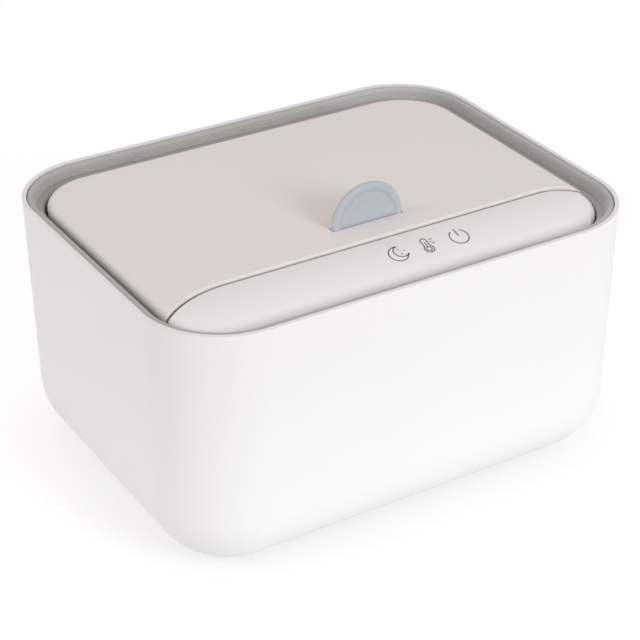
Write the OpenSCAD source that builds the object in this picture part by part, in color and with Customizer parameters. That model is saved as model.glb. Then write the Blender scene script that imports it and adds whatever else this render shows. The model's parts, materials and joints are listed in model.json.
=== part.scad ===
// Baby wipe warmer: a leaning white shell with a ribbed grey collar at its rim,
// a hinged lid and a fixed control panel cut from one rounded pad, and inside
// them the tub, the heater under its floor and the electronics.
// Millimetres. Origin on the table under the middle of the body, front towards -Y, up is +Z.

/* [Housing] */
// Width over the rim, left to right
body_w = 220; // [206:1:240]
// Depth over the rim, front to back
body_d = 172; // [168:1:190]
// Height of the rim above the table
body_h = 118; // [112:1:135]
// Corner radius of the rim, seen from above
corner_r = 36; // [35:0.5:38]
// Lean of the side walls, in degrees
wall_lean = 1; // [0.5:0.1:1.2]
// Radius that rolls the walls into the underside
base_round = 30; // [26:0.5:31]
// Thickness of the shell's walls
shell_wall = 2.4; // [2:0.1:2.8]
// Thickness of the shell at the rim
rim_wall = 1.8; // [1.5:0.1:1.9]
// Height of the thinner band at the rim
rim_band = 13; // [12:0.5:16]

/* [Base and feet] */
// Gap that the feet leave under the shell
foot_lift = 1.2; // [0.8:0.1:2]
// Diameter of a rubber foot
foot_d = 14; // [10:0.5:18]
// Depth of the recess that a foot is glued into
foot_sink = 1; // [0.6:0.1:1.4]
// Thickness of the base plate
base_t = 2.6; // [2.2:0.1:3.2]
// Width of the shell's inner ledge over the base plate
base_ledge = 2.4; // [1.8:0.1:3]
// Height of the posts that take the base screws
base_post_h = 13; // [10:0.5:16]

/* [Collar] */
// Distance from the shell's outer face to the inner edge of the ledge
ledge_in = 9; // [8.6:0.1:9.6]
// Depth of the ledge under the rim
ledge_drop = 5.6; // [5.2:0.1:6.2]
// Width of the lip at the top of the collar
lip_w = 2.6; // [2.2:0.1:2.8]
// Radius of the lip's rounded inner edge
lip_round = 0.9; // [0.5:0.1:1]
// Gap between the shell's rim and the collar
rim_gap = 0.3; // [0.15:0.05:0.4]
// Number of fine ribs round the collar's throat
throat_ribs = 5; // [3:1:6]
// Height by which a rib stands out of the throat
rib_out = 0.22; // [0.1:0.02:0.3]
// Thickness of the collar's walls
collar_wall = 1.8; // [1.5:0.1:2.2]
// Depth of the deck's top face under the rim
deck_drop = 15; // [14.5:0.5:18]
// Thickness of the deck
deck_t = 2.2; // [1.8:0.1:2.8]

/* [Lid] */
// Depth of the lid's top face under the rim
lid_drop = 2.6; // [2.2:0.1:3]
// Gap between the ledge and the edge of the lid
lid_gap = 0.6; // [0.5:0.1:0.9]
// Further gap behind the lid's rear edge
rear_gap = 1.8; // [1.4:0.1:2.4]
// Thickness of the lid
lid_wall = 2.2; // [2:0.1:2.4]
// Radius of the lid's rounded edge
lid_round = 2.6; // [2.4:0.1:3]
// Height of the lid's skirt, from its top face
skirt_h = 7.8; // [7.4:0.1:8.4]
// Thickness of the plate that closes the lid's underside
liner_t = 1.8; // [1.4:0.1:2.2]

/* [Seam] */
// Depth of the control panel, from its front edge to the seam
panel_depth = 35.7; // [34:0.1:37]
// Width of the gap between the lid and the control panel
seam_gap = 0.8; // [0.5:0.1:1.2]
// Radius of the seam's long left bend
seam_left_r = 46; // [42:1:48]
// Radius of the seam's short right bend
seam_right_r = 18; // [16:1:22]
// Length of the left bend, measured along the lid's front
seam_left = 32.4; // [30:0.2:36]
// Length of the right bend, measured along the lid's front
seam_right = 16.4; // [15.6:0.2:17]
// Small bevel along both edges of the seam
seam_bevel = 0.7; // [0.4:0.1:0.9]
// Set-back of the lid's skirt under its front edge
seam_lip = 0.8; // [0.4:0.1:1]

/* [Control panel] */
// Depth of the panel's face under the lid's top face
panel_drop = 1; // [0.6:0.1:1.6]
// Radius that rolls the panel's face into its front
panel_round = 10; // [8:0.5:11]
// Radius of the panel's edge at its ends
panel_edge = 2.8; // [2.5:0.1:3.2]
// Radius of the panel's rounded edge along the seam
panel_bevel = 0.9; // [0.4:0.1:1.2]
// Thickness of the panel
panel_wall = 2.2; // [1.8:0.1:2.4]
// Sideways place of the middle touch field
touch_x = 18.2; // [10:0.2:22]
// Distance between touch fields
touch_pitch = 14.2; // [12:0.2:16]
// Distance of the touch fields in front of the seam
touch_front = 15.1; // [14:0.1:17]
// Thickness of the circuit boards
board_t = 1.6; // [1.2:0.2:2]

/* [Pull tab] */
// Width of the tab
tab_w = 34; // [28:1:38]
// Thickness of the tab's border
tab_t = 3; // [2.6:0.2:3.6]
// Thickness of the tab's recessed middle
tab_web = 1.8; // [1.4:0.2:2]
// Width of the tab's border
tab_border = 4.2; // [3.6:0.2:5]
// Sideways place of the tab
tab_x = 7; // [0:0.5:9]
// Distance of the tab behind the seam
tab_back = 14.7; // [12:0.1:17]

/* [Hinge] */
// Diameter of a hinge pin
pin_d = 1.8; // [1.6:0.1:2]
// Distance of the hinge axis in front of the lid's rear edge
hinge_in = 6.6; // [6.2:0.1:7]
// Depth of the hinge axis under the lid's top face
hinge_drop = 3.4; // [3.3:0.05:3.5]
// Sideways place of each hinge
hinge_x = 52; // [40:1:60]
// Width of a knuckle on the lid
knuckle_w = 7.2; // [6:0.2:9]
// Width of an ear on the collar
ear_w = 4; // [3:0.2:5]

/* [Tub] */
// Space between the shell's side and the mouth of the tub
tub_side = 17; // [16:0.5:20]
// Space between the seam and the mouth of the tub
tub_front = 8.4; // [8.2:0.1:12]
// Corner radius of the tub's mouth
tub_r = 18; // [16:0.5:20]
// Height of the tub's floor above the table
floor_z = 30; // [28:0.5:36]
// Thickness of the tub
tub_wall = 1.8; // [1.4:0.1:2.2]
// Draft of the tub's walls, in degrees
tub_lean = 2; // [1:0.1:2.4]
// Radius between the tub's walls and its floor
tub_round = 8; // [6:0.5:10]
// Width of the flange round the tub's mouth
flange_w = 6; // [5.4:0.1:6.2]
// Thickness of the flange
flange_t = 1.5; // [1.2:0.1:1.8]

/* [Heater] */
// Width of the heater plate
heater_w = 140; // [120:1:142]
// Depth of the heater plate
heater_d = 56; // [44:1:60]
// Thickness of the heater plate
heater_t = 1.6; // [1.2:0.1:2]
// Thickness of the heating film
film_t = 0.4; // [0.3:0.1:0.6]
// Thickness of the insulation pad under the film
pad_t = 3.9; // [3:0.1:5]
// Thickness of the steel bracket
bracket_t = 1.2; // [1:0.1:1.6]
// Thickness of the insulation band round the tub
band_t = 3.5; // [2.5:0.5:5]

/* [Electronics] */
// Width of the main board
board_w = 80; // [70:1:90]
// Depth of the main board
board_d = 36; // [32:1:40]
// Height of the posts that carry the main board
board_post_h = 6; // [5:0.5:8]
// Distance of the power inlet from the shell's right side
jack_side = 50; // [46:1:70]
// Height of the power inlet above the table
jack_z = 42; // [40:1:50]
// Diameter of the round recess of the power inlet
jack_d = 11; // [10.4:0.2:12]
// Diameter of the sleeved wires
wire_d = 2; // [1.6:0.2:2]
// Radius of the bends in the wires
wire_bend = 4; // [2.5:0.5:5]

/* [Hidden] */
$fn = 64;
// Clearances: between faces that rest on each other, between fitted parts and round a turning pin
seat = 0.1;
fit = 0.2;
slip = 0.06;
// Half spans between the corner centres of the housing
cx = body_w / 2 - corner_r;
cy = body_d / 2 - corner_r;
// Levels of the base
base_top = foot_lift + base_t;
ledge_top = base_top + 2;
// Radius, from a corner centre, of the opening for the base plate
base_r = 2.9;
// Levels and radii of the collar
lip_z = body_h - 0.4;
ledge_z = body_h - ledge_drop;
deck_z = body_h - deck_drop;
collar_out = corner_r - rim_wall - rim_gap;
lip_r = collar_out - lip_w;
throat_r = lip_r - 1.1;
well_r = corner_r - ledge_in;
// Outline of the pad that the lid and the panel are cut from
pad_r = well_r - lid_gap;
pad_front = -cy - pad_r;
lid_back = cy + pad_r - rear_gap;
lid_cy = lid_back - pad_r;
lid_top = body_h - lid_drop;
lid_under = lid_top - lid_wall;
skirt_z = lid_top - skirt_h;
liner_z = skirt_z + 0.2;
liner_top = liner_z + liner_t;
panel_top = lid_top - panel_drop;
panel_under = panel_top - panel_wall;
panel_foot = deck_z + seat;
seam_y = pad_front + panel_depth;
seam_x0 = seam_left - cx - pad_r;
seam_x1 = cx + pad_r - seam_right;
seam_half = seam_gap / 2;
skirt_back = seam_half + seam_lip;
// Hinge
hinge_y = lid_back - hinge_in;
hinge_z = lid_top - hinge_drop;
ear_r = hinge_drop - 1.5;
ear_gap = 0.4;
hinge_span = knuckle_w + 2 * ear_gap + 2 * ear_w;
pocket_z = hinge_z + ear_r + 0.3;
// Tub
flange_z = deck_z + seat;
mouth_z = flange_z + flange_t;
tub_cx = body_w / 2 - tub_side - tub_r;
tub_y1 = hinge_y - 10 - tub_r;
tub_y0 = seam_y + tub_front + tub_r;
tub_mid = (tub_y0 + tub_y1) / 2;
deck_hole_r = tub_r + tub_wall + 0.3;
// Seal between the lid's liner and the flange
seal_in = tub_r + 1.5;
seal_w = 3;
seal_z = mouth_z + 0.3;
// Heater stack, from the tub's floor down
tub_under = floor_z - tub_wall;
plate_top = tub_under - seat;
film_top = plate_top - heater_t - seat;
pad_top = film_top - film_t - seat;
bracket_top = pad_top - pad_t - seat;
bracket_x = heater_w / 2 + 6;
bracket_y = heater_d / 2 - 9;
film_w = heater_w - 24;
// Screws: small ones for the lid and boards, large ones for the housing
small_r = 1.25;
small_head = 2.4;
large_r = 1.45;
large_head = 2.9;
// Screw places
base_screw = [cx - 5.5, cy - 5.5];
foot_at = [cx - 15, cy - 12];
shelf_z = deck_z - 14;
shelf_t = 3;
shelf_x = cx + well_r + 1;
shelf_y = 40;
panel_screw = [cx + 4, cy + 12];
lid_screw_x = tub_cx + 5;
lid_screws_y = [tub_y0 - 8, tub_y1 + 5];
// Insulation band: its levels and how far its top reaches out from a corner centre of the tub
band_z0 = floor_z + tub_round + 4;
band_z1 = shelf_z - 5;
band_out = tub_r + tub_wall - (mouth_z - band_z1) * tan(tub_lean) + 0.15 + band_t;
// Touch board: it reaches this far past the outer fields
touch_y = seam_y - touch_front;
touch_board_end = 23;
touch_board_w = 2 * (touch_pitch + touch_board_end);
touch_board_d = 20;
touch_board_z = panel_under - 5.2;
touch_post_x = touch_board_w / 2 - 5;
// Main board: the lead to the touch board rises from it in front of the insulation band
lead_gap = 6.6;
socket_in = 5;
board_y = tub_y0 - band_out - lead_gap + board_d / 2 - socket_in;
board_z = base_top + board_post_h;
board_top = board_z + board_t;
board_post = [board_w / 2 - 4, board_d / 2 - 4];
// Power inlet: the face of the jack lies behind the boss of the round recess
jack_boss = 4;
jack_x = body_w / 2 - jack_side;
jack_face = body_d / 2 - (body_h - jack_z) * tan(wall_lean) - jack_boss;
jack_depth = 10;
jack_half = 5.7;

// Sweeps a section round a rounded rectangle. The section's x is the distance
// outwards from the corner centres, which lie at x and -x, y0 and y1.
module loop(x, y0, y1) {
    side = y1 - y0;
    for (s = [[x, y0 + side, 0], [-x, y0 + side, 90], [-x, y0, 180], [x, y0, 270]])
        translate([s[0], s[1], 0])
            rotate([0, 0, s[2]])
                rotate_extrude(angle = 90)
                    children();
    for (s = [[-x, y0 + side, 90], [x, y0, 270]])
        translate([s[0], s[1], 0])
            rotate([0, 0, s[2]])
                rotate([90, 0, 0])
                    linear_extrude(2 * x)
                        children();
    both_sides()
        translate([-x, y0, 0])
            rotate([90, 0, 180])
                linear_extrude(side)
                    children();
}

// A flat plate with round corners of radius r about the same centres
module round_plate(x, y0, y1, r, z0, z1) {
    translate([0, 0, z0])
        linear_extrude(z1 - z0) {
            translate([-x - r, y0])
                square([2 * (x + r), y1 - y0]);
            translate([-x, y0 - r])
                square([2 * x, y1 - y0 + 2 * r]);
            for (sx = [-x, x], sy = [y0, y1])
                translate([sx, sy])
                    circle(r = r);
        }
}

// Section of a bowl: a wall that leans in towards its foot and rolls into the floor
module bowl_section(r_top, z_top, lean, z_low, round) {
    zc = z_low + round;
    rc = r_top - (z_top - zc) * tan(lean) - round / cos(lean);
    polygon([[0, z_low], [rc, z_low], [rc, zc],
             [rc + round * cos(lean), zc - round * sin(lean)], [r_top, z_top], [0, z_top]]);
    intersection() {
        translate([rc, zc])
            circle(r = round);
        translate([rc, z_low])
            square(round);
    }
}

// Section of a pad with a rounded upper edge
module pad_section(r, round, top, foot) {
    translate([0, foot])
        square([r, top - round - foot]);
    translate([0, top - round])
        square([r - round, round]);
    intersection() {
        translate([r - round, top - round])
            circle(r = round);
        translate([r - round, top - round])
            square(round);
    }
}

// A solid pad over a rounded rectangle
module pad(y1, inset, round, top, foot) {
    loop(cx, -cy, y1)
        pad_section(pad_r - inset, round, top, foot);
    translate([-cx, -cy, foot])
        cube([2 * cx, y1 + cy, top - foot]);
}

// Outline of all that lies in front of the seam, with its edge moved back by g
module front_outline(g) {
    low = -body_d;
    translate([seam_x0, low])
        square([seam_x1 - seam_x0, seam_y + g - low]);
    for (s = [[seam_x0, seam_left_r, body_w], [seam_x1, seam_right_r, 0]]) {
        translate([s[0], seam_y - s[1]])
            circle(r = s[1] + g);
        translate([s[0] - s[2], low])
            square([body_w, seam_y - s[1] - low]);
    }
}

// A solid over that outline
module front_zone(g, z0, z1) {
    translate([0, 0, z0])
        linear_extrude(z1 - z0)
            front_outline(g);
}

// Sweeps a section along the seam. Its x is the distance behind the seam, its y the height.
module along_seam() {
    translate([seam_x0, seam_y, 0])
        rotate([90, 0, 90])
            linear_extrude(seam_x1 - seam_x0)
                children();
    for (s = [[seam_x0, seam_left_r, 90], [seam_x1, seam_right_r, 0]])
        translate([s[0], seam_y - s[1], 0])
            rotate([0, 0, s[2]])
                rotate_extrude(angle = 90)
                    translate([s[1], 0])
                        children();
}

// Cutter that rounds the edge between a wall at x = 0 and a top at y = 0, in two flats
module edge_cut(r) {
    mid = r * (1 - cos(45));
    past = 1.4 * (r - mid) + mid;
    polygon([[0.4 * mid, -past], [-mid, -mid], [-past, 0.4 * mid], [0.4 * mid, 0.4 * mid]]);
}

// The same piece on the left and on the right
module both_sides() {
    children();
    mirror([1, 0, 0])
        children();
}

// The same piece in all four corners
module four_corners() {
    both_sides() {
        children();
        mirror([0, 1, 0])
            children();
    }
}

// A sleeved wire that starts upwards. Each step is a straight length and the
// direction, in degrees round the wire, of the quarter bend that follows it.
module wire(steps, i = 0) {
    cylinder(h = steps[i][0], r = wire_d / 2);
    if (i < len(steps) - 1)
        translate([0, 0, steps[i][0]])
            rotate([0, 0, steps[i][1]]) {
                translate([wire_bend, 0, 0])
                    rotate([90, 0, 180])
                        rotate_extrude(angle = 90)
                            translate([wire_bend, 0])
                                circle(r = wire_d / 2);
                translate([wire_bend, 0, wire_bend])
                    rotate([0, 90, 0])
                        wire(steps, i + 1);
            }
}

// A screw whose head rests on z = 0 and whose shank points up
module screw(r, head, length) {
    cylinder(h = length, r = r - 0.05);
    translate([0, 0, -1.6])
        cylinder(h = 1.6, r = head);
}

// Section of the shell: leaning wall, thin rim band and the ledge over the base plate
module shell_section() {
    difference() {
        union() {
            difference() {
                bowl_section(corner_r, body_h, wall_lean, foot_lift, base_round);
                bowl_section(corner_r - shell_wall / cos(wall_lean), body_h, wall_lean,
                             foot_lift + shell_wall, base_round - shell_wall);
            }
            translate([0, base_top])
                square([11, ledge_top - base_top]);
        }
        translate([-1, body_h - rim_band])
            square([corner_r - rim_wall + 1, rim_band + 1]);
        translate([-1, 0])
            square([1 + base_r, base_top]);
        translate([-1, 0])
            square([1 + base_r - base_ledge, ledge_top + 1]);
    }
}

// A post for a base screw, tied to the ledge by a gusset
module base_post() {
    translate([base_screw[0], base_screw[1], base_top])
        cylinder(h = base_post_h, r = 3.6);
    translate([base_screw[0], base_screw[1], 0])
        rotate([0, 0, 45])
            translate([0, 1, 0])
                rotate([90, 0, 0])
                    linear_extrude(2)
                        polygon([[0, base_top], [12.5, base_top], [12.5, ledge_top + 0.2],
                                 [3, base_top + base_post_h - 2], [0, base_top + base_post_h - 2]]);
}

// A shelf with two gussets on a side wall, which the collar is screwed to
module side_shelf() {
    wall_at = cx + corner_r - (body_h - shelf_z) * tan(wall_lean) - 1;
    translate([shelf_x - 5, shelf_y - 6, shelf_z])
        cube([wall_at - shelf_x + 5, 12, shelf_t]);
    for (y = [shelf_y - 6, shelf_y + 4])
        translate([0, y + 2, 0])
            rotate([90, 0, 0])
                linear_extrude(2)
                    polygon([[shelf_x - 4, shelf_z + 1], [wall_at - 0.3, shelf_z - 12],
                             [wall_at, shelf_z + 1]]);
}

module outer_shell() {
    color([0.95, 0.95, 0.945])
        difference() {
            union() {
                loop(cx, -cy, cy)
                    shell_section();
                four_corners()
                    base_post();
                four_corners()
                    side_shelf();
                translate([jack_x, jack_face, jack_z])
                    rotate([-90, 0, 0])
                        cylinder(h = jack_boss - 1, r = jack_d / 2 + 3);
                for (z = [jack_z - jack_half - seat - 1.4, jack_z + jack_half + seat])
                    translate([jack_x - 8, jack_face - 8, z])
                        cube([16, 10, 1.4]);
            }
            four_corners()
                translate([base_screw[0], base_screw[1], base_top - 1])
                    cylinder(h = base_post_h - 2, r = large_r);
            four_corners()
                translate([shelf_x, shelf_y, shelf_z - 1])
                    cylinder(h = shelf_t + 2, r = large_r + 0.2);
            translate([jack_x, jack_face - 1, jack_z])
                rotate([-90, 0, 0])
                    cylinder(h = jack_boss + 3, r = jack_d / 2);
        }
}

module base_plate() {
    color([0.9, 0.9, 0.895])
        difference() {
            union() {
                round_plate(cx, -cy, cy, base_r - fit, foot_lift, base_top - seat);
                for (x = [-board_post[0], board_post[0]], y = [-board_post[1], board_post[1]])
                    translate([x, board_y + y, base_top - 1])
                        cylinder(h = board_post_h + 1, r = 3);
            }
            four_corners()
                translate([foot_at[0], foot_at[1], foot_lift - 1])
                    cylinder(h = 1 + foot_sink, r = foot_d / 2 + fit);
            four_corners()
                translate([base_screw[0], base_screw[1], foot_lift - 1]) {
                    cylinder(h = base_t + 2, r = large_r + 0.2);
                    cylinder(h = 2.7, r = large_head + 0.3);
                }
            for (x = [-board_post[0], board_post[0]], y = [-board_post[1], board_post[1]])
                translate([x, board_y + y, base_top])
                    cylinder(h = board_post_h + 1, r = small_r);
            for (i = [-4 : 4])
                translate([i * 7 - 1.2, 8, foot_lift - 1])
                    cube([2.4, 26, base_t + 2]);
        }
}

module rubber_feet() {
    color([0.75, 0.75, 0.75])
        four_corners()
            translate([foot_at[0], foot_at[1], 0]) {
                cylinder(h = 0.5, r1 = foot_d / 2 - 0.5, r2 = foot_d / 2);
                translate([0, 0, 0.5])
                    cylinder(h = foot_lift + foot_sink - 0.5, r = foot_d / 2);
            }
}

module base_screws() {
    color("silver")
        four_corners()
            translate([base_screw[0], base_screw[1], foot_lift + 1.7])
                screw(large_r, large_head, base_post_h - 3);
}

// Outline of the ribbed throat, from the lip down to the ledge
function throat_points() = let (z1 = lip_z - lip_round - 0.1, z0 = ledge_z + 0.5, n = throat_ribs, dz = (z1 - z0) / n)
    [for (i = [0 : n - 1], k = [0, 1, 2])
        let (z = z1 - (i + [0, 0.45, 0.6][k]) * dz, r = lip_r - (lip_r - throat_r) * (z1 - z) / (z1 - z0))
            [r - [0, 0, rib_out][k], z]];

// Section of the collar: skirt, lip, ribbed throat, ledge and the wall of the well
module collar_section() {
    edge = 1;
    polygon(concat(
        [[collar_out, lip_z - 11], [collar_out, lip_z - 0.5], [collar_out - 0.15, lip_z - 0.15],
         [collar_out - 0.5, lip_z]],
        [for (a = [90 : 22.5 : 180])
            [lip_r + lip_round * (1 + cos(a)), lip_z - lip_round * (1 - sin(a))]],
        throat_points(),
        [[throat_r, ledge_z + 0.3]],
        [for (a = [90 : -22.5 : 0]) [well_r + edge - edge * cos(a), ledge_z - edge + edge * sin(a)]],
        [[well_r, deck_z - deck_t], [well_r + collar_wall, deck_z - deck_t],
         [well_r + collar_wall, ledge_z - collar_wall], [collar_out - collar_wall, ledge_z - collar_wall],
         [collar_out - collar_wall, lip_z - 11]]));
}

// An ear that holds a hinge pin, leaning in from the front so that the lid can swing behind it
module hinge_ear() {
    rotate([90, 0, 90])
        linear_extrude(ear_w) {
            translate([hinge_y, hinge_z])
                circle(r = ear_r);
            polygon([[hinge_y - ear_r - 1.3, deck_z - 0.5], [hinge_y + 1, deck_z - 0.5],
                     [hinge_y + 1, hinge_z], [hinge_y - ear_r + 0.2, hinge_z + 0.3]]);
        }
}

module top_collar() {
    color([0.66, 0.67, 0.67])
        difference() {
            union() {
                loop(cx, -cy, cy)
                    collar_section();
                difference() {
                    round_plate(cx, -cy, cy, well_r + 0.6, deck_z - deck_t, deck_z);
                    round_plate(tub_cx, tub_y0, tub_y1, deck_hole_r, deck_z - deck_t - 1, deck_z + 1);
                }
                four_corners()
                    translate([shelf_x, shelf_y, shelf_z + shelf_t + seat])
                        cylinder(h = deck_z - deck_t - shelf_z - shelf_t, r = 3.5);
                both_sides()
                    for (x = [hinge_x - hinge_span / 2, hinge_x + hinge_span / 2 - ear_w])
                        translate([x, 0, 0])
                            hinge_ear();
            }
            four_corners()
                translate([shelf_x, shelf_y, shelf_z])
                    cylinder(h = shelf_t + 8, r = large_r);
            both_sides()
                translate([hinge_x - hinge_span / 2 - 1, hinge_y, hinge_z])
                    rotate([0, 90, 0])
                        cylinder(h = hinge_span + 2, r = pin_d / 2 + 0.02);
            both_sides()
                translate([panel_screw[0], -panel_screw[1], deck_z - deck_t - 1])
                    cylinder(h = deck_t + 2, r = large_r + 0.2);
            translate([touch_x, touch_y - 6, deck_z - deck_t - 1])
                cylinder(h = deck_t + 2, r = 5);
        }
}

module collar_screws() {
    color("silver")
        four_corners()
            translate([shelf_x, shelf_y, shelf_z])
                screw(large_r, large_head, shelf_t + 7);
}

module hinge_pins() {
    color("silver")
        both_sides()
            translate([hinge_x - hinge_span / 2 + 0.2, hinge_y, hinge_z])
                rotate([0, 90, 0])
                    cylinder(h = hinge_span - 0.4, r = pin_d / 2);
}

// A bar across the part whose front rolls down. It shapes the panel's front.
module panel_roll(inset) {
    y = pad_front + panel_round - 0.4;
    z = panel_top - panel_round;
    r = panel_round - inset;
    foot = panel_foot - 2;
    translate([-body_w / 2, 0, 0])
        rotate([90, 0, 90])
            linear_extrude(body_w) {
                translate([y - r, foot])
                    square([r, z - foot]);
                translate([y, foot])
                    square([body_d, z + r - foot]);
                intersection() {
                    translate([y, z])
                        circle(r = r);
                    translate([y - r, z])
                        square(r);
                }
            }
}

module control_panel() {
    color([0.89, 0.875, 0.865])
        difference() {
            union() {
                difference() {
                    intersection() {
                        pad(cy, 0, panel_edge, panel_top, panel_foot);
                        front_zone(-seam_half, panel_foot - 1, panel_top + 1);
                        panel_roll(0);
                    }
                    along_seam()
                        translate([-seam_half, panel_top])
                            edge_cut(panel_bevel);
                    intersection() {
                        pad(cy, panel_wall, panel_edge - panel_wall, panel_under, panel_foot - 1);
                        front_zone(-seam_half - panel_wall, panel_foot - 2, panel_top);
                        panel_roll(panel_wall);
                    }
                }
                both_sides()
                    translate([panel_screw[0], -panel_screw[1], panel_foot])
                        cylinder(h = panel_under + 0.5 - panel_foot, r = 3.2);
                for (s = [-1, 1])
                    translate([touch_x + s * touch_post_x, touch_y, touch_board_z + board_t + seat])
                        cylinder(h = panel_under + 0.5 - touch_board_z - board_t - seat, r = 2.6);
            }
            both_sides()
                translate([panel_screw[0], -panel_screw[1], panel_foot - 1])
                    cylinder(h = 8, r = large_r);
            for (s = [-1, 1])
                translate([touch_x + s * touch_post_x, touch_y, touch_board_z])
                    cylinder(h = board_t + 4, r = small_r);
        }
}

module panel_screws() {
    color("silver")
        both_sides()
            translate([panel_screw[0], -panel_screw[1], deck_z - deck_t])
                screw(large_r, large_head, deck_t + 6);
}

module touch_board() {
    color([0.1, 0.35, 0.2])
        difference() {
            union() {
                translate([touch_x - touch_board_w / 2, touch_y - touch_board_d / 2, touch_board_z])
                    cube([touch_board_w, touch_board_d, board_t]);
                translate([touch_x - 4, touch_y - 8, touch_board_z - 2.6])
                    cube([8, 4, 3]);
            }
            for (s = [-1, 1])
                translate([touch_x + s * touch_post_x, touch_y, touch_board_z - 1])
                    cylinder(h = board_t + 2, r = small_r + 0.15);
        }
}

module touch_board_screws() {
    color("silver")
        for (s = [-1, 1])
            translate([touch_x + s * touch_post_x, touch_y, touch_board_z])
                screw(small_r, small_head, board_t + 3);
}

// Soft conductive pads that carry the touch fields to the underside of the panel
module sensor_pads() {
    color([0.2, 0.2, 0.22])
        for (i = [-1 : 1])
            translate([touch_x + i * touch_pitch, touch_y, touch_board_z + board_t])
                cylinder(h = panel_under - touch_board_z - board_t - seat, r = 4);
}

module indicator_leds() {
    color([0.95, 0.95, 0.85])
        for (i = [-1 : 1])
            translate([touch_x + i * touch_pitch, touch_y + 7, touch_board_z + board_t]) {
                cylinder(h = 1.4, r = 1.5);
                translate([0, 0, 1.4])
                    cylinder(h = 1, r1 = 1.5, r2 = 0.8);
            }
}

module night_light_leds() {
    color([1, 0.9, 0.6])
        for (s = [-1, 1])
            translate([touch_x + s * (touch_post_x - 6) - 1.75, touch_y + 5.2, touch_board_z + board_t])
                cube([3.5, 3.5, 1.4]);
}

// The tub hangs by its flange on the deck, and hooks under the deck hold it down
module inner_tub() {
    color([0.93, 0.925, 0.92])
        difference() {
            union() {
                loop(tub_cx, tub_y0, tub_y1) {
                    bowl_section(tub_r + tub_wall, mouth_z, tub_lean, tub_under, tub_round + tub_wall);
                    translate([tub_r, flange_z])
                        square([flange_w, flange_t]);
                }
                translate([-tub_cx, tub_y0, tub_under])
                    cube([2 * tub_cx, tub_y1 - tub_y0, mouth_z - tub_under]);
                for (x = [-tub_cx + 15, 0, tub_cx - 15])
                    translate([x - 5, 0, 0])
                        rotate([90, 0, 90])
                            linear_extrude(10)
                                tub_hooks();
                for (sx = [-1, 1], sy = [-1, 1])
                    translate([sx * bracket_x, tub_mid + sy * bracket_y, bracket_top + seat])
                        cylinder(h = tub_under + 0.5 - bracket_top - seat, r = 3);
            }
            loop(tub_cx, tub_y0, tub_y1)
                bowl_section(tub_r, mouth_z + 0.01, tub_lean, floor_z, tub_round);
            translate([-tub_cx, tub_y0, floor_z])
                cube([2 * tub_cx, tub_y1 - tub_y0, mouth_z]);
            for (sx = [-1, 1], sy = [-1, 1])
                translate([sx * bracket_x, tub_mid + sy * bracket_y, bracket_top - 1])
                    cylinder(h = tub_under - bracket_top, r = small_r);
        }
}

// Wedge-shaped hooks on the front and rear walls of the tub
module tub_hooks() {
    z1 = deck_z - deck_t - seat;
    for (s = [[tub_y1, 1], [tub_y0, -1]]) {
        wall = s[0] + s[1] * (tub_r + tub_wall - (mouth_z - z1) * tan(tub_lean));
        polygon([[wall - s[1], z1], [wall + s[1] * 1.6, z1], [wall + s[1] * 1.6, z1 - 1],
                 [wall - s[1] * 0.1, z1 - 4], [wall - s[1], z1 - 4]]);
    }
}

module heater_plate() {
    color([0.8, 0.8, 0.82])
        translate([-heater_w / 2, tub_mid - heater_d / 2, plate_top - heater_t])
            cube([heater_w, heater_d, heater_t]);
}

module heating_film() {
    color([0.75, 0.45, 0.15])
        translate([-film_w / 2, tub_mid - heater_d / 2 + 2, film_top - film_t])
            cube([film_w, heater_d - 4, film_t]);
}

module insulation_pad() {
    color([0.3, 0.3, 0.32])
        translate([-film_w / 2, tub_mid - heater_d / 2 + 2, pad_top - pad_t])
            cube([film_w, heater_d - 4, pad_t]);
}

// A pressed steel tray that clamps the heater stack against the tub's floor
module heater_bracket() {
    w = 2 * bracket_x + 10;
    d = heater_d - 4;
    color([0.7, 0.7, 0.72])
        difference() {
            translate([-w / 2, tub_mid - d / 2, bracket_top - bracket_t])
                cube([w, d, bracket_t]);
            for (x = [-1, 0, 1])
                translate([x * film_w / 3 - 13, tub_mid - 14, bracket_top - bracket_t - 1])
                    cube([26, 28, bracket_t + 2]);
            for (sx = [-1, 1], sy = [-1, 1])
                translate([sx * bracket_x, tub_mid + sy * bracket_y, bracket_top - bracket_t - 1])
                    cylinder(h = bracket_t + 2, r = small_r + 0.15);
        }
}

module bracket_screws() {
    color("silver")
        for (sx = [-1, 1], sy = [-1, 1])
            translate([sx * bracket_x, tub_mid + sy * bracket_y, bracket_top - bracket_t])
                screw(small_r, small_head, bracket_t + 4);
}

// The thermal cut-out lies against the end of the heater plate
module thermal_fuse() {
    r = (plate_top - heater_t - bracket_top) / 2 - 0.15;
    color([0.85, 0.75, 0.5])
        translate([heater_w / 2 - 6, tub_mid - 6, plate_top - heater_t - r - seat])
            rotate([-90, 0, 0])
                cylinder(h = 12, r = r);
}

module temperature_sensor() {
    color([0.15, 0.15, 0.15])
        translate([-heater_w / 2 + 6, tub_mid, plate_top - heater_t - seat - 3])
            cylinder(h = 3, r = 2.5);
}

// A foam band round the upper walls of the tub
module insulation_band() {
    low = band_out - (band_z1 - band_z0) * tan(tub_lean);
    color([0.55, 0.55, 0.58])
        loop(tub_cx, tub_y0, tub_y1)
            polygon([[low - band_t, band_z0], [low, band_z0], [band_out, band_z1], [band_out - band_t, band_z1]]);
}

module main_board() {
    color([0.1, 0.35, 0.2])
        difference() {
            translate([-board_w / 2, board_y - board_d / 2, board_z])
                cube([board_w, board_d, board_t]);
            for (x = [-board_post[0], board_post[0]], y = [-board_post[1], board_post[1]])
                translate([x, board_y + y, board_z - 1])
                    cylinder(h = board_t + 2, r = small_r + 0.15);
        }
}

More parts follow.
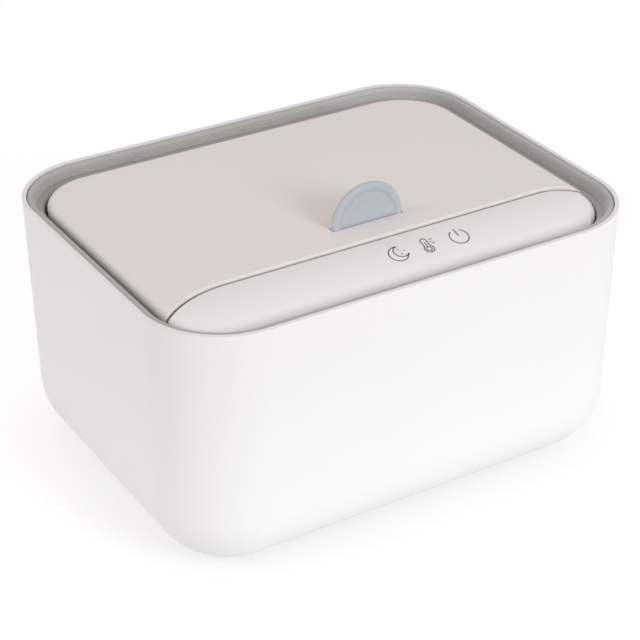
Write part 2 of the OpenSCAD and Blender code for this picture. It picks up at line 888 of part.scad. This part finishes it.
// The plug sockets of the main board, for the power, the heater and the touch board
sockets = [[board_w / 2 - 14, board_y + board_d / 2 - socket_in], [0, board_y + 2],
           [touch_x, board_y - board_d / 2 + socket_in]];
socket_h = 5;

module board_components() {
    color([0.15, 0.15, 0.17]) {
        for (s = sockets)
            translate([s[0] - 4, s[1] - 2.5, board_top])
                cube([8, 5, socket_h]);
        translate([-board_w / 2 + 8, board_y - 9, board_top])
            cube([15, 12, 11]);
        translate([-board_w / 2 + 29, board_y - 11, board_top])
            cube([9, 9, 1.4]);
        for (x = [13, 29])
            translate([x, board_y, board_top])
                cylinder(h = 10, r = 3.5);
    }
}

module board_screws() {
    color("silver")
        for (x = [-board_post[0], board_post[0]], y = [-board_post[1], board_post[1]])
            translate([x, board_y + y, board_top])
                mirror([0, 0, 1])
                    screw(small_r, small_head, board_t + 4);
}

// The socket and its centre contact, seated between two ribs on the rear wall
module power_jack() {
    w = 13;
    h = 2 * jack_half;
    color([0.12, 0.12, 0.12]) {
        difference() {
            translate([jack_x - w / 2, jack_face - seat - jack_depth, jack_z - h / 2])
                cube([w, jack_depth, h]);
            translate([jack_x, jack_face + 1, jack_z])
                rotate([90, 0, 0])
                    cylinder(h = jack_depth - 0.5, r = 2.8);
        }
        translate([jack_x, jack_face - 2, jack_z])
            rotate([90, 0, 0])
                cylinder(h = jack_depth - 3, r = 1);
    }
}

module power_lead() {
    s = sockets[0];
    y0 = jack_face - jack_depth - seat;
    z1 = board_top + socket_h / 2;
    color([0.2, 0.2, 0.2])
        translate([jack_x, y0, jack_z])
            rotate([90, 0, 0])
                wire([[4, 270], [jack_z - z1 - 2 * wire_bend, 270], [jack_x - s[0] - 2 * wire_bend, 270],
                      [y0 - 4 - 2 * wire_bend - s[1] - 2.5, 0]]);
}

module heater_lead() {
    s = sockets[1];
    z0 = board_top + socket_h;
    z1 = plate_top - 0.2 - wire_d / 2;
    color([0.75, 0.2, 0.15])
        translate([s[0], s[1], z0])
            wire([[z1 - z0 - wire_bend, 90], [tub_mid - heater_d / 2 - s[1] - wire_bend, 0]]);
}

module touch_lead() {
    s = sockets[2];
    z0 = board_top + socket_h;
    z1 = deck_z - deck_t - 8;
    color([0.8, 0.8, 0.8])
        translate([s[0], s[1], z0])
            wire([[z1 - z0 - wire_bend, 270], [s[1] - touch_y + 6 - 2 * wire_bend, 180],
                  [touch_board_z - 2.6 - z1 - wire_bend, 0]]);
}

// A knuckle of the lid, with a web up to the lid's underside
module knuckle() {
    translate([hinge_x - knuckle_w / 2, 0, 0])
        rotate([90, 0, 90])
            linear_extrude(knuckle_w) {
                translate([hinge_y, hinge_z])
                    circle(r = ear_r);
                translate([hinge_y - ear_r + 0.1, hinge_z])
                    square([2 * ear_r - 0.2, pocket_z - hinge_z + 0.3]);
            }
}

module lid_cover() {
    slot = [tab_w + 0.3, tab_t + 0.3];
    color([0.85, 0.815, 0.795])
        difference() {
            union() {
                difference() {
                    pad(lid_cy, 0, lid_round, lid_top, skirt_z);
                    front_zone(seam_half, skirt_z - 1, lid_top + 1);
                    front_zone(skirt_back, skirt_z - 2, lid_top - 1.4);
                    along_seam()
                        translate([seam_half, lid_top])
                            mirror([1, 0])
                                edge_cut(seam_bevel);
                    difference() {
                        pad(lid_cy, lid_wall, lid_round - lid_wall, lid_under, skirt_z - 1);
                        front_zone(skirt_back + lid_wall, skirt_z - 2, lid_top);
                    }
                    both_sides()
                        translate([hinge_x - hinge_span / 2 - ear_gap, hinge_y - 5, skirt_z - 1])
                            cube([hinge_span + 2 * ear_gap, hinge_in + 6, pocket_z - skirt_z + 1]);
                }
                both_sides()
                    knuckle();
                for (x = [-lid_screw_x, lid_screw_x], y = lid_screws_y)
                    translate([x, y, liner_top + seat])
                        cylinder(h = lid_under + 0.5 - liner_top - seat, r = 3);
            }
            both_sides()
                translate([hinge_x - knuckle_w / 2 - 1, hinge_y, hinge_z])
                    rotate([0, 90, 0])
                        cylinder(h = knuckle_w + 2, r = pin_d / 2 + slip);
            for (x = [-lid_screw_x, lid_screw_x], y = lid_screws_y)
                translate([x, y, liner_top - 1])
                    cylinder(h = lid_under - liner_top + 1.6, r = small_r);
            translate([tab_x - slot[0] / 2, seam_y + tab_back - slot[1] / 2, lid_under - 1])
                cube([slot[0], slot[1], lid_wall + 2]);
        }
}

// The plate that closes the lid from below and holds the seal and the tab's foot
module lid_liner() {
    color([0.9, 0.89, 0.88])
        difference() {
            union() {
                difference() {
                    round_plate(cx, -cy, lid_cy, pad_r - lid_wall - 0.3, liner_z, liner_top);
                    front_zone(skirt_back + lid_wall + 0.3, liner_z - 1, liner_top + 1);
                    translate([-body_w / 2, hinge_y - 4.6, liner_z - 1])
                        cube([body_w, 30, liner_t + 2]);
                }
                translate([tab_x - tab_w / 2, seam_y + tab_back - 3, liner_top - 0.5])
                    cube([tab_w, 6, lid_under - 1.6 - 2 * seat - liner_top + 0.5]);
            }
            for (x = [-lid_screw_x, lid_screw_x], y = lid_screws_y)
                translate([x, y, liner_z - 1])
                    cylinder(h = liner_t + 2, r = small_r + 0.15);
        }
}

// A soft lip that closes on the tub's flange
module lid_seal() {
    m = seal_in + seal_w / 2;
    color([0.8, 0.82, 0.84])
        loop(tub_cx, tub_y0, tub_y1)
            polygon([[seal_in, liner_z], [m + seal_w / 2, liner_z], [m + seal_w / 2, liner_z - 1],
                     [m + 0.7, liner_z - 1.4], [m + 0.6, seal_z + 0.3], [m, seal_z],
                     [m - 0.6, seal_z + 0.3], [m - 0.7, liner_z - 1.4], [seal_in, liner_z - 1]]);
}

module lid_screws() {
    color("silver")
        for (x = [-lid_screw_x, lid_screw_x], y = lid_screws_y)
            translate([x, y, liner_z])
                screw(small_r, small_head, liner_t + 3);
}

// Section of the tab from its centre outwards: thin web, sloping step and round border
module tab_section() {
    r = tab_w / 2;
    t = tab_t / 2;
    w = tab_web / 2;
    polygon([[0, -w], [r - tab_border, -w], [r - tab_border + 1.4, -t], [r - t, -t],
             [r - t, t], [r - tab_border + 1.4, t], [r - tab_border, w], [0, w]]);
    intersection() {
        translate([r - t, 0])
            circle(r = t);
        translate([r - t, -t])
            square([t, tab_t]);
    }
}

// The pull tab: a half disc that stands in the lid's slot on a wide foot
module pull_tab() {
    foot_h = 1.6;
    color([0.74, 0.79, 0.85])
        translate([tab_x, seam_y + tab_back, 0]) {
            translate([0, 0, lid_top + 0.5])
                rotate([90, 0, 0])
                    rotate_extrude(angle = 180)
                        tab_section();
            for (s = [0, 180])
                rotate([0, 0, s])
                    translate([0, 0, lid_under - 0.5])
                        linear_extrude(lid_top + 0.5 - lid_under + 0.5)
                            tab_section();
            translate([-tab_w / 2 - 2, -4, lid_under - seat - foot_h])
                cube([tab_w + 4, 8, foot_h]);
        }
}

outer_shell();
base_plate();
rubber_feet();
base_screws();
top_collar();
collar_screws();
control_panel();
panel_screws();
touch_board();
touch_board_screws();
sensor_pads();
indicator_leds();
night_light_leds();
inner_tub();
heater_plate();
heating_film();
insulation_pad();
heater_bracket();
bracket_screws();
thermal_fuse();
temperature_sensor();
insulation_band();
main_board();
board_components();
board_screws();
power_jack();
power_lead();
heater_lead();
touch_lead();
hinge_pins();
lid_cover();
lid_liner();
lid_seal();
lid_screws();
pull_tab();
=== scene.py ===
# %% [markdown]
# # A baby wipe warmer
# A wipe warmer keeps a stack of wet wipes at body heat. It has a white moulded
# housing with a grey ribbed collar at its rim, a hinged lid with a soft pull tab,
# and a fixed panel with three touch fields in front of the lid. The shapes come
# from the CAD model. This script gives them their surfaces, the printed signs,
# the light and the camera.

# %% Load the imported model
import json
import math

import bpy
from mathutils import Matrix, Vector


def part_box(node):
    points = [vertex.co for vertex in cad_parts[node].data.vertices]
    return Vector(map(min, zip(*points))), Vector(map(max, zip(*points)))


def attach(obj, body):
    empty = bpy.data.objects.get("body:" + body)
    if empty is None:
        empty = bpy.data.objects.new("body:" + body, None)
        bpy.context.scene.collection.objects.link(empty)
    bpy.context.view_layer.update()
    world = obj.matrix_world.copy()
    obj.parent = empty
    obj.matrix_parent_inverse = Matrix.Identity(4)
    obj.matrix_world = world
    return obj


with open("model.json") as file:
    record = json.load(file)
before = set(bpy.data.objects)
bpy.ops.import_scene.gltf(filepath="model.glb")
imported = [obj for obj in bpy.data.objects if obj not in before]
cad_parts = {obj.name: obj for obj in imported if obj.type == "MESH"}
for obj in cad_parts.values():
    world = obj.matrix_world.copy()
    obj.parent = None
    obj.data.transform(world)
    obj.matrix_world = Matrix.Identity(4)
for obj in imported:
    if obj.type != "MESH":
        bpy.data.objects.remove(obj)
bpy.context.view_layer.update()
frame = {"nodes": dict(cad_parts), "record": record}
MM = 0.001
print("pieces:", len(frame["nodes"]))

# %% [markdown]
# Colours are written as they look on a screen, from 0 to 255, and turned into
# the linear values that the shaders expect.

# %% Colour helper
def screen(r, g, b):
    def linear(v):
        v = v / 255
        return v / 12.92 if v <= 0.04045 else ((v + 0.055) / 1.055) ** 2.4
    return (linear(r), linear(g), linear(b), 1.0)


# %% [markdown]
# Most pieces are injection moulded. Such a surface is never quite even: the steel
# mould is spark eroded or bead blasted, which leaves a fine grain, and the plastic
# flows in with slow waves of tone. One shared node group gives both, so that each
# material only sets how coarse and how deep its own grain is.

# %% The moulded surface, shared by all plastics
def socket(tree, name, kind, way, value=None):
    item = tree.interface.new_socket(name=name, in_out=way, socket_type=kind)
    if value is not None:
        item.default_value = value
    return item


def moulded_surface():
    tree = bpy.data.node_groups.new("moulded_surface", "ShaderNodeTree")
    socket(tree, "Grain", "NodeSocketFloat", "INPUT", 1500.0)
    socket(tree, "Depth", "NodeSocketFloat", "INPUT", 0.1)
    socket(tree, "Tone", "NodeSocketFloat", "OUTPUT")
    socket(tree, "Wear", "NodeSocketFloat", "OUTPUT")
    socket(tree, "Normal", "NodeSocketVector", "OUTPUT")
    new, link = tree.nodes.new, tree.links.new
    inn = new("NodeGroupInput")
    out = new("NodeGroupOutput")
    place = new("ShaderNodeTexCoord")
    fine = new("ShaderNodeTexNoise")
    fine.inputs["Detail"].default_value = 3.0
    fine.inputs["Roughness"].default_value = 0.6
    link(place.outputs["Object"], fine.inputs["Vector"])
    link(inn.outputs["Grain"], fine.inputs["Scale"])
    slow = new("ShaderNodeTexNoise")
    slow.inputs["Scale"].default_value = 14.0
    slow.inputs["Detail"].default_value = 2.0
    link(place.outputs["Object"], slow.inputs["Vector"])
    smear = new("ShaderNodeTexNoise")
    smear.inputs["Scale"].default_value = 60.0
    smear.inputs["Detail"].default_value = 4.0
    smear.inputs["Distortion"].default_value = 0.6
    link(place.outputs["Object"], smear.inputs["Vector"])
    bump = new("ShaderNodeBump")
    bump.inputs["Distance"].default_value = 0.0001
    link(inn.outputs["Depth"], bump.inputs["Strength"])
    link(fine.outputs["Fac"], bump.inputs["Height"])
    link(slow.outputs["Fac"], out.inputs["Tone"])
    link(smear.outputs["Fac"], out.inputs["Wear"])
    link(bump.outputs["Normal"], out.inputs["Normal"])
    return tree


surface = moulded_surface()


# %% [markdown]
# A material maker. The base colour drifts a little with the slow tone, and the
# roughness with the smears that hands and the mould leave.

# %% Material maker
def material(name, colour, rough, grain=1500.0, depth=0.1, drift=0.02, shine=0.06, **fixed):
    mat = bpy.data.materials.new(name)
    mat.use_nodes = True
    tree = mat.node_tree
    new, link = tree.nodes.new, tree.links.new
    shader = tree.nodes["Principled BSDF"]
    group = new("ShaderNodeGroup")
    group.node_tree = surface
    group.inputs["Grain"].default_value = grain
    group.inputs["Depth"].default_value = depth
    tone = new("ShaderNodeMix")
    tone.data_type = "RGBA"
    low = [c * (1 - drift) for c in colour[:3]] + [1.0]
    high = [min(1.0, c * (1 + drift)) for c in colour[:3]] + [1.0]
    tone.inputs["A"].default_value = low
    tone.inputs["B"].default_value = high
    link(group.outputs["Tone"], tone.inputs["Factor"])
    link(tone.outputs["Result"], shader.inputs["Base Color"])
    gloss = new("ShaderNodeMapRange")
    gloss.inputs["From Min"].default_value = 0.3
    gloss.inputs["From Max"].default_value = 0.7
    gloss.inputs["To Min"].default_value = rough - shine
    gloss.inputs["To Max"].default_value = rough + shine
    link(group.outputs["Wear"], gloss.inputs["Value"])
    link(gloss.outputs["Result"], shader.inputs["Roughness"])
    link(group.outputs["Normal"], shader.inputs["Normal"])
    for key, value in fixed.items():
        shader.inputs[key.replace("_", " ")].default_value = value
    return mat


looks = {
    "shell_white": material("shell_white", screen(247, 246, 245), 0.42, 1400, 0.06, 0.01),
    "base_white": material("base_white", screen(232, 231, 229), 0.5, 1400, 0.1),
    "feet_rubber": material("feet_rubber", screen(196, 196, 195), 0.8, 2200, 0.3),
    "collar_grey": material("collar_grey", screen(191, 189, 185), 0.5, 900, 0.015, 0.015, 0.03),
    "panel_cream": material("panel_cream", screen(247, 243, 241), 0.42, 1800, 0.05, 0.008, 0.03),
    "lid_beige": material("lid_beige", screen(235, 227, 222), 0.45, 1800, 0.05, 0.008, 0.03),
    "liner_white": material("liner_white", screen(231, 229, 227), 0.45, 1600, 0.08),
    "tub_white": material("tub_white", screen(238, 237, 235), 0.35, 1400, 0.05, 0.015),
    "seal_silicone": material("seal_silicone", screen(205, 209, 212), 0.55, 2500, 0.1),
    "tab_silicone": material("tab_silicone", screen(190, 196, 203), 0.45, 2500, 0.05),
    "foam_grey": material("foam_grey", screen(140, 141, 146), 0.95, 700, 1.0, 0.12),
    "board_green": material("board_green", screen(30, 92, 58), 0.45, 900, 0.1, 0.15),
    "dark_plastic": material("dark_plastic", screen(38, 38, 40), 0.4, 1500, 0.1),
    "lead_black": material("lead_black", screen(45, 45, 46), 0.5, 900, 0.15),
    "lead_red": material("lead_red", screen(178, 45, 36), 0.5, 900, 0.15),
    "lead_grey": material("lead_grey", screen(190, 190, 190), 0.5, 900, 0.15),
    "led_clear": material("led_clear", screen(244, 240, 222), 0.15, 900, 0.02),
    "film_amber": material("film_amber", screen(190, 120, 40), 0.3, 500, 0.1, 0.1),
    "fuse_beige": material("fuse_beige", screen(214, 196, 150), 0.5, 900, 0.1),
    "steel": material("steel", screen(190, 190, 194), 0.3, 3000, 0.15, Metallic=1.0),
    "aluminium_plate": material("aluminium_plate", screen(205, 206, 209), 0.35, 2500, 0.2, Metallic=1.0),
}

# %% [markdown]
# Each piece of the record names its material slot, so the table above dresses
# every piece of the model in one pass.

# %% Dress the model
for part in frame["record"]["subparts"]:
    piece = frame["nodes"][part["node"]]
    piece.data.materials.clear()
    piece.data.materials.append(looks[part["material_slot"]])

# %% [markdown]
# Some pieces are tinted slowly over their own length, most of them to paint light
# and shade onto them. The shell has painted shade, a touch darker and warmer, under
# its rim and along its left side. The collar has painted shade towards the foot of
# its throat, where light hardly comes in, and painted light that leaves it lightest
# in its rear right corner. The soft tab gets darker towards its thin top, where the
# lid shows through it. The panel's face is flat, and a slow bend of its shaded
# surface with a painted shade that fades out from the seam towards the front makes
# it look slightly crowned.

# %% Slow fades, most of them painted light and shade
def fade(mat, axis, start, end, tint):
    """Tints a material at the start place on an axis, and less and less up to the end."""
    tree = mat.node_tree
    new, link = tree.nodes.new, tree.links.new
    shader = tree.nodes["Principled BSDF"]
    tone = shader.inputs["Base Color"].links[0].from_socket
    place = new("ShaderNodeTexCoord")
    split = new("ShaderNodeSeparateXYZ")
    near = new("ShaderNodeMapRange")
    near.interpolation_type = "SMOOTHSTEP"
    near.inputs["From Min"].default_value = end
    near.inputs["From Max"].default_value = start
    shade = new("ShaderNodeMix")
    shade.data_type = "RGBA"
    shade.inputs["A"].default_value = (1, 1, 1, 1)
    shade.inputs["B"].default_value = tint
    both = new("ShaderNodeMix")
    both.data_type = "RGBA"
    both.blend_type = "MULTIPLY"
    both.inputs["Factor"].default_value = 1.0
    link(place.outputs["Object"], split.inputs["Vector"])
    link(split.outputs[axis], near.inputs["Value"])
    link(near.outputs["Result"], shade.inputs["Factor"])
    link(tone, both.inputs["A"])
    link(shade.outputs["Result"], both.inputs["B"])
    link(both.outputs["Result"], shader.inputs["Base Color"])
    return near.outputs["Result"]


def bend(mat, height_from, height):
    """Bends the shaded surface as if the given field were that many metres high."""
    tree = mat.node_tree
    shader = tree.nodes["Principled BSDF"]
    bump = tree.nodes.new("ShaderNodeBump")
    bump.inputs["Distance"].default_value = height
    tree.links.new(height_from, bump.inputs["Height"])
    tree.links.new(shader.inputs["Normal"].links[0].from_socket, bump.inputs["Normal"])
    tree.links.new(bump.outputs["Normal"], shader.inputs["Normal"])


SHELL_LOW, SHELL_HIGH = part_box("outer_shell")
LEFT, RIGHT, RIM = SHELL_LOW[0], SHELL_HIGH[0], SHELL_HIGH[2]
TAB_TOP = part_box("pull_tab")[1][2]
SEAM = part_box("control_panel")[1][1]
# Painted shade on the shell: darkest and a touch warm at its rim, fading out downwards.
fade(looks["shell_white"], "Z", RIM, RIM - 98 * MM, (0.93, 0.915, 0.91, 1))
# Painted shade on the shell's left side, a touch darker and warmer there.
fade(looks["shell_white"], "X", LEFT, LEFT + 30 * MM, (0.985, 0.965, 0.95, 1))
# Painted shade on the collar, darkest at the foot of its throat and fading out upwards.
fade(looks["collar_grey"], "Z", RIM - 11 * MM, RIM - 2 * MM, (0.82, 0.81, 0.80, 1))
# Painted light on the collar: these two tints darken it away from a band near its right side, so it
# looks lightest in its rear right corner.
fade(looks["collar_grey"], "X", RIGHT - 80 * MM, RIGHT - 25 * MM, (0.872, 0.868, 0.855, 1))
fade(looks["collar_grey"], "X", RIGHT - 5 * MM, RIGHT - 15 * MM, (0.87, 0.87, 0.87, 1))
fade(looks["tab_silicone"], "Z", TAB_TOP, TAB_TOP - 17 * MM, (0.91, 0.925, 0.90, 1))
# Painted shade on the panel, darkest at the seam and fading out towards the front; the same field drives
# the bend.
panel_painted_shade_and_crown = fade(looks["panel_cream"], "Y", SEAM, SEAM - 34 * MM, (0.895, 0.875, 0.865, 1))
bend(looks["panel_cream"], panel_painted_shade_and_crown, 4.5 * MM)
print("fades:", 7)

# %% [markdown]
# The signs on the touch panel are printed with grey ink: a moon with stars for the
# night light, a thermometer for the heat and the usual sign for on and off. Each
# is drawn as thin closed ribbons that lie on the panel's face.

# %% Ink and ribbons
ink = material("ink_grey", screen(128, 126, 126), 0.6, 2500, 0.05, 0.04)
PANEL_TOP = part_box("control_panel")[1][2]
INK_LIFT = 0.04 * MM
LEAN, TALL = 0.29, 1.37
SHARPEST = 0.3


def ribbon(points, width, closed=False):
    """Corner points of a strip of even width along a line, as quads.

    A sharp corner is only widened up to a limit, so that it grows no spike.
    """
    pts = [Vector(p) for p in points]
    n = len(pts)
    sides = []
    for i, p in enumerate(pts):
        before = pts[i - 1] if i > 0 or closed else None
        after = pts[(i + 1) % n] if i < n - 1 or closed else None
        a = (p - before).normalized() if before is not None else (after - p).normalized()
        b = (after - p).normalized() if after is not None else a
        across = Vector((-(a.y + b.y), a.x + b.x))
        across = across.normalized() * (width / 2 / max(SHARPEST, math.cos(a.angle(b) / 2)))
        sides.append((p + across, p - across))
    quads = []
    for i in range(n if closed else n - 1):
        j = (i + 1) % n
        quads.append([sides[i][0], sides[i][1], sides[j][1], sides[j][0]])
    return quads


def print_sign(name, quads, centre):
    """Makes one flat ink piece from quads round a centre, all in millimetres."""
    verts, faces = [], []
    for quad in quads:
        base = len(verts)
        for p in quad:
            x = centre[0] + p.x + LEAN * p.y
            y = centre[1] + TALL * p.y
            verts.append((x * MM, y * MM, PANEL_TOP + INK_LIFT))
        faces.append(list(range(base, base + len(quad))))
    mesh = bpy.data.meshes.new(name)
    mesh.from_pydata(verts, [], faces)
    mesh.validate()
    mesh.materials.append(ink)
    sign = bpy.data.objects.new(name, mesh)
    bpy.context.scene.collection.objects.link(sign)
    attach(sign, "housing")


def polar(cx, cy, r, degrees):
    """The point at a distance and a direction from a centre."""
    return (cx + r * math.cos(math.radians(degrees)), cy + r * math.sin(math.radians(degrees)))


def arc(cx, cy, r, a0, a1, n=36):
    """Points along a circle from one direction to another, in degrees."""
    return [polar(cx, cy, r, a0 + (a1 - a0) * i / n) for i in range(n + 1)]


def star(cx, cy, size):
    """A small star with four points, as one face."""
    tip, notch = 1.2 * size, 0.5 * size
    return [Vector(polar(cx, cy, notch if k % 2 else tip, 45 * k + 90)) for k in range(8)]


LINE = 0.6
FINE_LINE, TICK_LINE = LINE * 0.9, LINE * 0.8
MOON, HEAT, POWER = (3.2, -55.8), (16.3, -58.6), (32.5, -56.2)

# %% [markdown]
# The moon is a crescent between two arcs. The thermometer is a long loop with a
# bulb at its foot and a few short marks. The power sign is a ring that is open at
# the top with a short bar in the opening. The signs are printed a little taller and
# leaning, so that they read well for somebody who looks down at them from the left.

# %% The three signs
MOON_R, BITE_R = 4.17, 3.3
BITE_X, BITE_Y = 1.87, 1.06
outer = arc(0, 0, MOON_R, 77, 340, 44)
inner = arc(BITE_X, BITE_Y, BITE_R, 311, 107, 30)
moon = ribbon(outer + inner, LINE, closed=True)
for x, y, size in [(1.1, 2.4, 0.5), (3.2, 1.2, 0.45), (1.5, -0.4, 0.5)]:
    moon.append(star(x, y, size))
print_sign("sign_night_light", moon, MOON)

BULB_R, BEAD_R, STEM_R = 2.1, 1.15, 1.3
STEM_TOP, FILL_LOW, FILL_TOP = 4.9, 1.1, 4.1
bulb = arc(0, 0, BULB_R, 128, 412)
stem = arc(0, STEM_TOP, STEM_R, 0, 180, 12)
thermo = ribbon(bulb + stem, LINE, closed=True)
thermo += ribbon(arc(0, 0, BEAD_R, 0, 360, 16)[:-1], FINE_LINE, closed=True)
thermo += ribbon([(0, FILL_LOW), (0, FILL_TOP)], FINE_LINE)
for x0, x1, y in [(2.5, 4.2, 4.85), (2.4, 3.2, 3.6), (2.7, 4.3, 2.5)]:
    thermo += ribbon([(x0, y), (x1, y)], TICK_LINE)
print_sign("sign_heat", thermo, HEAT)

RING_R, BAR_LOW, BAR_TOP = 4.13, 0.45, 4.7
power = ribbon(arc(0, 0, RING_R, 119, 418, 48), LINE)
power += ribbon([(0, BAR_LOW), (0, BAR_TOP)], LINE)
print_sign("sign_power", power, POWER)
print("signs printed:", 3)

# %% [markdown]
# The stage is a pale floor. For the camera it is lifted towards white, and what is
# left of its own shading keeps the soft shadow under the housing. Close to the
# housing it is lifted a little less, which deepens the shadow where they meet.

# %% Floor
FLOOR_HALF = 6
corners = [(x * FLOOR_HALF, y * FLOOR_HALF, 0) for x, y in [(-1, -1), (1, -1), (1, 1), (-1, 1)]]
floor_mesh = bpy.data.meshes.new("floor")
floor_mesh.from_pydata(corners, [], [(0, 1, 2, 3)])
floor = bpy.data.objects.new("floor", floor_mesh)
bpy.context.scene.collection.objects.link(floor)

floor_mat = bpy.data.materials.new("floor_paper")
floor_mat.use_nodes = True
tree = floor_mat.node_tree
new, link = tree.nodes.new, tree.links.new
tree.nodes.remove(tree.nodes["Principled BSDF"])
paper = new("ShaderNodeBsdfDiffuse")
paper.inputs["Color"].default_value = (0.46, 0.455, 0.445, 1)
lift = new("ShaderNodeEmission")
near = new("ShaderNodeAmbientOcclusion")
near.samples = 16
near.inputs["Distance"].default_value = 0.05
shade = new("ShaderNodeMapRange")
shade.inputs["From Min"].default_value = 0.5
shade.inputs["From Max"].default_value = 0.95
shade.inputs["To Min"].default_value = 0.59
shade.inputs["To Max"].default_value = 0.665
link(near.outputs["AO"], shade.inputs["Value"])
link(shade.outputs["Result"], lift.inputs["Strength"])
both = new("ShaderNodeAddShader")
plain = new("ShaderNodeBsdfDiffuse")
plain.inputs["Color"].default_value = (0.9, 0.9, 0.9, 1)
path = new("ShaderNodeLightPath")
pick = new("ShaderNodeMixShader")
link(paper.outputs[0], both.inputs[0])
link(lift.outputs[0], both.inputs[1])
seen = path.outputs["Is Camera Ray"]
for ray in ["Is Glossy Ray", "Is Transmission Ray"]:
    either = new("ShaderNodeMath")
    either.operation = "MAXIMUM"
    link(seen, either.inputs[0])
    link(path.outputs[ray], either.inputs[1])
    seen = either.outputs[0]
link(seen, pick.inputs["Fac"])
link(plain.outputs[0], pick.inputs[1])
link(both.outputs[0], pick.inputs[2])
link(pick.outputs[0], tree.nodes["Material Output"].inputs["Surface"])
floor_mesh.materials.append(floor_mat)

# %% [markdown]
# The world lights the warmer softly from all sides. The camera sees it as plain
# white.

# %% World
world = bpy.data.worlds.new("studio")
bpy.context.scene.world = world
world.use_nodes = True
tree = world.node_tree
new, link = tree.nodes.new, tree.links.new
soft = tree.nodes["Background"]
soft.inputs["Color"].default_value = (1.0, 0.985, 0.97, 1)
soft.inputs["Strength"].default_value = 0.64
white = new("ShaderNodeBackground")
white.inputs["Color"].default_value = (1, 1, 1, 1)
white.inputs["Strength"].default_value = 1.0
path = new("ShaderNodeLightPath")
pick = new("ShaderNodeMixShader")
link(path.outputs["Is Camera Ray"], pick.inputs["Fac"])
link(soft.outputs[0], pick.inputs[1])
link(white.outputs[0], pick.inputs[2])
link(pick.outputs[0], tree.nodes["World Output"].inputs["Surface"])

# %% [markdown]
# Two soft boxes stand low, one in front of the warmer and a weaker one at its left.
# Their light comes in under the rim's height, so the front wall is the brightest
# face, the roll of the panel lies in shade and the tab's shadow falls behind it.

# %% Lamps
LAMP_DISTANCE, LAMP_SIZE = 1.5, 0.6
DAYLIGHT = (0.96, 1.0, 1.05)
AIM = Vector((0, 0, 0.1))


def direction(turn, rise):
    """The way from the model to a place, by its turn from the front and its rise, in radians."""
    return Vector((math.sin(turn) * math.cos(rise), -math.cos(turn) * math.cos(rise), math.sin(rise)))


def softbox(name, turn, rise, watts):
    """Places a round lamp by its direction from the model, in degrees, and aims it at the rim."""
    data = bpy.data.lights.new(name, "AREA")
    data.shape = "DISK"
    data.size = LAMP_SIZE
    data.energy = watts
    data.color = DAYLIGHT
    way = direction(math.radians(turn), math.radians(rise))
    lamp = bpy.data.objects.new(name, data)
    lamp.location = AIM + way * LAMP_DISTANCE
    lamp.rotation_euler = (-way).to_track_quat("-Z", "Y").to_euler()
    bpy.context.scene.collection.objects.link(lamp)


softbox("front_softbox", 14, 23, 7.8)
softbox("left_softbox", -96, 30, 3.35)
print("lamps:", len(bpy.data.lights))

# %% [markdown]
# The camera stands to the left in front of the warmer and looks down at 30
# degrees. Its focal length is given in pixels of a picture of 640 pixels.

# %% Camera
TURN, TILT, ROLL = math.radians(-31.27), math.radians(30.11), math.radians(-0.24)
EYE_BACK, EYE_RIGHT, EYE_UP = 0.88575, 0.00013, 0.0495
FOCAL_PX, PICTURE_PX, FILM_MM = 1967.5, 640, 36
back = direction(TURN, TILT)
right = Vector((math.cos(TURN), math.sin(TURN), 0))
up = back.cross(right)
eye = back * EYE_BACK + right * EYE_RIGHT + up * EYE_UP
right_r = right * math.cos(ROLL) + up * math.sin(ROLL)
up_r = -right * math.sin(ROLL) + up * math.cos(ROLL)
camera_data = bpy.data.cameras.new("camera")
camera_data.sensor_width = FILM_MM
camera_data.lens = FOCAL_PX / PICTURE_PX * FILM_MM
camera = bpy.data.objects.new("camera", camera_data)
camera.matrix_world = Matrix(((right_r.x, up_r.x, back.x, eye.x),
                              (right_r.y, up_r.y, back.y, eye.y),
                              (right_r.z, up_r.z, back.z, eye.z),
                              (0, 0, 0, 1)))
bpy.context.scene.collection.objects.link(camera)
bpy.context.scene.camera = camera
bpy.context.scene.view_settings.view_transform = "Standard"
print("lens in mm:", round(camera_data.lens, 2))
